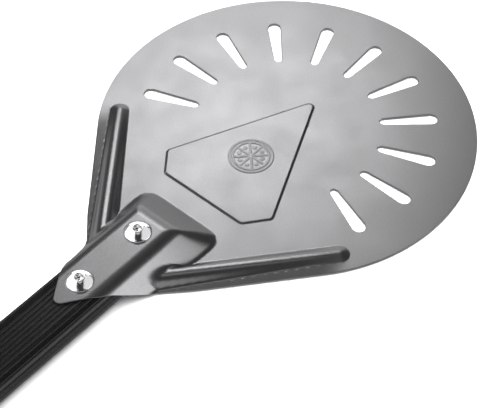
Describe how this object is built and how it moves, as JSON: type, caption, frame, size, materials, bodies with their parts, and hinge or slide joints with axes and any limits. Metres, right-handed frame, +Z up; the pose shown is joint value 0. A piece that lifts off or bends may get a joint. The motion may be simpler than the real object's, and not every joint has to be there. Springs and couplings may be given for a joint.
{
  "type": "pizza peel",
  "caption": "Turning pizza peel: a round slotted metal blade with raised beads and a pressed saddle, screwed over a fluted flat-sided handle tube.",
  "frame": {"origin": "centre of the round head, in the plane that the peel rests on", "axes": "+Y from the handle towards the head's far rim, +X to the right, +Z up"},
  "size_m": [0.2032, 0.8, 0.02],
  "materials": {
    "blade_metal": "satin",
    "handle_anodised": "black anodised, satin",
    "insert_plastic": "moulded",
    "cap_plastic": "fine moulded texture",
    "screw_chrome": "polished",
    "nut_steel": "zinc plated"
  },
  "bodies": {
    "root": {"blade": "blade_metal", "handle_tube": "handle_anodised", "tube_insert": "insert_plastic", "end_cap": "cap_plastic", "front_screw": "screw_chrome", "rear_screw": "screw_chrome", "front_nut": "nut_steel", "rear_nut": "nut_steel"}
  },
  "joints": []
}
